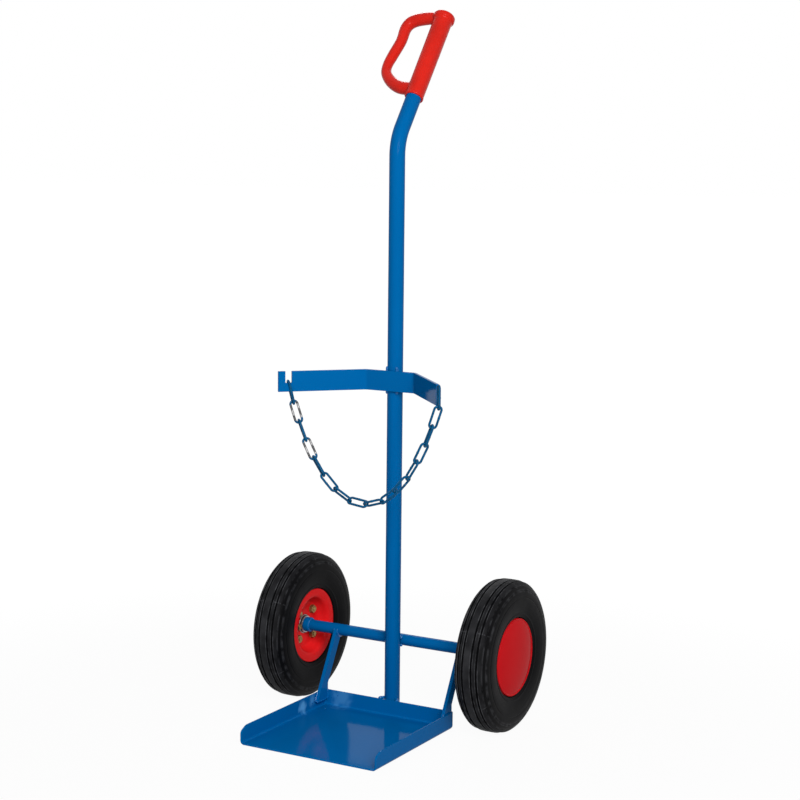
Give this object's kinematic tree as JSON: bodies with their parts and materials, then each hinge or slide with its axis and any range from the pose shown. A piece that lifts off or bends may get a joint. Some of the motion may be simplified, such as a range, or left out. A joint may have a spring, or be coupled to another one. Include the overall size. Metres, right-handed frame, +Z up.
{
  "type": "gas cylinder cart",
  "caption": "Hand cart for a gas cylinder: bent tube mast with a D-shaped grip, open load tray, V-shaped cradle with a hanging safety chain, and air-filled wheels on an axle.",
  "frame": {"origin": "middle of the load tray's underside, on the floor that the tray and both tyres stand on", "axes": "+Z up along the mast, -Y to the front, where the tray is open, +X to the right seen from the front"},
  "size_m": [0.462, 0.45, 1.2185],
  "materials": {
    "blue_paint": "gloss powder coat",
    "red_paint": "gloss paint",
    "red_plastic": "moulded, glossy",
    "tyre_rubber": "black, smooth walls",
    "tube_rubber": "black",
    "bush_plastic": "black nylon",
    "bare_steel": "zinc plated",
    "yellow_zinc": "yellow zinc plated"
  },
  "bodies": {
    "frame": {"axle_bar": "blue_paint", "chain_anchor_link": "blue_paint", "chain_end_link": "blue_paint", "d_grip": "red_plastic", "holder_bracket": "blue_paint", "left_axle_collar": "blue_paint", "left_brace": "blue_paint", "left_cotter_pin": "bare_steel", "left_inner_washer": "bare_steel", "left_outer_washer": "bare_steel", "load_tray": "blue_paint", "mast_tube": "blue_paint", "right_axle_collar": "blue_paint", "right_brace": "blue_paint", "right_cotter_pin": "bare_steel", "right_inner_washer": "bare_steel", "right_outer_washer": "bare_steel"},
    "left_wheel": {"left_tyre": "tyre_rubber", "left_inner_tube": "tube_rubber", "left_outer_rim_half": "red_paint", "left_inner_rim_half": "red_paint", "left_hub_sleeve": "bare_steel", "left_outer_bush": "bush_plastic", "left_inner_bush": "bush_plastic", "left_wheel_cover": "red_paint", "left_rim_bolt_1": "yellow_zinc", "left_rim_bolt_2": "yellow_zinc", "left_rim_bolt_3": "yellow_zinc", "left_rim_bolt_4": "yellow_zinc", "left_valve_stem": "tube_rubber", "left_valve_cap": "yellow_zinc"},
    "right_wheel": {"right_tyre": "tyre_rubber", "right_inner_tube": "tube_rubber", "right_outer_rim_half": "red_paint", "right_inner_rim_half": "red_paint", "right_hub_sleeve": "bare_steel", "right_outer_bush": "bush_plastic", "right_inner_bush": "bush_plastic", "right_wheel_cover": "red_paint", "right_rim_bolt_1": "yellow_zinc", "right_rim_bolt_2": "yellow_zinc", "right_rim_bolt_3": "yellow_zinc", "right_rim_bolt_4": "yellow_zinc", "right_valve_stem": "tube_rubber", "right_valve_cap": "yellow_zinc"},
    "chain_link_01_body": {"chain_link_01": "blue_paint"},
    "chain_link_02_body": {"chain_link_02": "blue_paint"},
    "chain_link_03_body": {"chain_link_03": "blue_paint"},
    "chain_link_04_body": {"chain_link_04": "blue_paint"},
    "chain_link_05_body": {"chain_link_05": "blue_paint"},
    "chain_link_06_body": {"chain_link_06": "blue_paint"},
    "chain_link_07_body": {"chain_link_07": "blue_paint"},
    "chain_link_08_body": {"chain_link_08": "blue_paint"},
    "chain_link_09_body": {"chain_link_09": "blue_paint"},
    "chain_link_10_body": {"chain_link_10": "blue_paint"},
    "chain_link_11_body": {"chain_link_11": "blue_paint"},
    "chain_link_12_body": {"chain_link_12": "blue_paint"},
    "chain_link_13_body": {"chain_link_13": "blue_paint"},
    "chain_link_14_body": {"chain_link_14": "blue_paint"}
  },
  "joints": [
    {"name": "left_wheel_spin", "type": "hinge", "parent": "frame", "child": "left_wheel", "pos_m": [-0.2, 0.168, 0.13], "axis": [1, 0, 0], "continuous": true},
    {"name": "right_wheel_spin", "type": "hinge", "parent": "frame", "child": "right_wheel", "pos_m": [0.2, 0.168, 0.13], "axis": [1, 0, 0], "continuous": true},
    {"name": "chain_link_01_swing", "type": "hinge", "parent": "frame", "child": "chain_link_01_body", "pos_m": [0.15878, 0.00894, 0.5679], "axis": [-0.9948, 0.0865, -0.0533], "range_deg": [-15, 15]},
    {"name": "chain_link_02_swing", "type": "hinge", "parent": "chain_link_01_body", "child": "chain_link_02_body", "pos_m": [0.14713, 0.00995, 0.5364], "axis": [0.9947, -0.0865, -0.0556], "range_deg": [-15, 15]},
    {"name": "chain_link_03_swing", "type": "hinge", "parent": "chain_link_02_body", "child": "chain_link_03_body", "pos_m": [0.13376, 0.01111, 0.5056], "axis": [-0.9817, 0.0853, 0.1701], "range_deg": [-15, 15]},
    {"name": "chain_link_04_swing", "type": "hinge", "parent": "chain_link_03_body", "child": "chain_link_04_body", "pos_m": [0.11814, 0.01247, 0.47588], "axis": [0.9542, -0.0829, -0.2876], "range_deg": [-15, 15]},
    {"name": "chain_link_05_swing", "type": "hinge", "parent": "chain_link_04_body", "child": "chain_link_05_body", "pos_m": [0.09954, 0.01409, 0.44794], "axis": [-0.911, 0.0792, 0.4048], "range_deg": [-15, 15]},
    {"name": "chain_link_06_swing", "type": "hinge", "parent": "chain_link_05_body", "child": "chain_link_06_body", "pos_m": [0.07699, 0.01605, 0.42311], "axis": [0.8518, -0.074, -0.5186], "range_deg": [-15, 15]},
    {"name": "chain_link_07_swing", "type": "hinge", "parent": "chain_link_06_body", "child": "chain_link_07_body", "pos_m": [0.04954, 0.01843, 0.40388], "axis": [-0.7777, 0.0676, 0.625], "range_deg": [-15, 15]},
    {"name": "chain_link_08_swing", "type": "hinge", "parent": "chain_link_07_body", "child": "chain_link_08_body", "pos_m": [0.01747, 0.02122, 0.39426], "axis": [0.6933, -0.0603, -0.7181], "range_deg": [-15, 15]},
    {"name": "chain_link_09_swing", "type": "hinge", "parent": "chain_link_08_body", "child": "chain_link_09_body", "pos_m": [-0.01583, 0.02411, 0.39761], "axis": [-0.6097, 0.053, 0.7909], "range_deg": [-15, 15]},
    {"name": "chain_link_10_swing", "type": "hinge", "parent": "chain_link_09_body", "child": "chain_link_10_body", "pos_m": [-0.04578, 0.02672, 0.41262], "axis": [0.538, -0.0468, -0.8417], "range_deg": [-15, 15]},
    {"name": "chain_link_11_swing", "type": "hinge", "parent": "chain_link_10_body", "child": "chain_link_11_body", "pos_m": [-0.07068, 0.02888, 0.43508], "axis": [-0.4809, 0.0418, 0.8758], "range_deg": [-15, 15]},
    {"name": "chain_link_12_swing", "type": "hinge", "parent": "chain_link_11_body", "child": "chain_link_12_body", "pos_m": [-0.09111, 0.03066, 0.4617], "axis": [0.436, -0.0379, -0.8992], "range_deg": [-15, 15]},
    {"name": "chain_link_13_swing", "type": "hinge", "parent": "chain_link_12_body", "child": "chain_link_13_body", "pos_m": [-0.1081, 0.03213, 0.49064], "axis": [-0.4, 0.0348, 0.9159], "range_deg": [-15, 15]},
    {"name": "chain_link_14_swing", "type": "hinge", "parent": "chain_link_13_body", "child": "chain_link_14_body", "pos_m": [-0.12252, 0.03339, 0.52097], "axis": [0.3706, -0.0322, -0.9282], "range_deg": [-15, 15]}
  ]
}
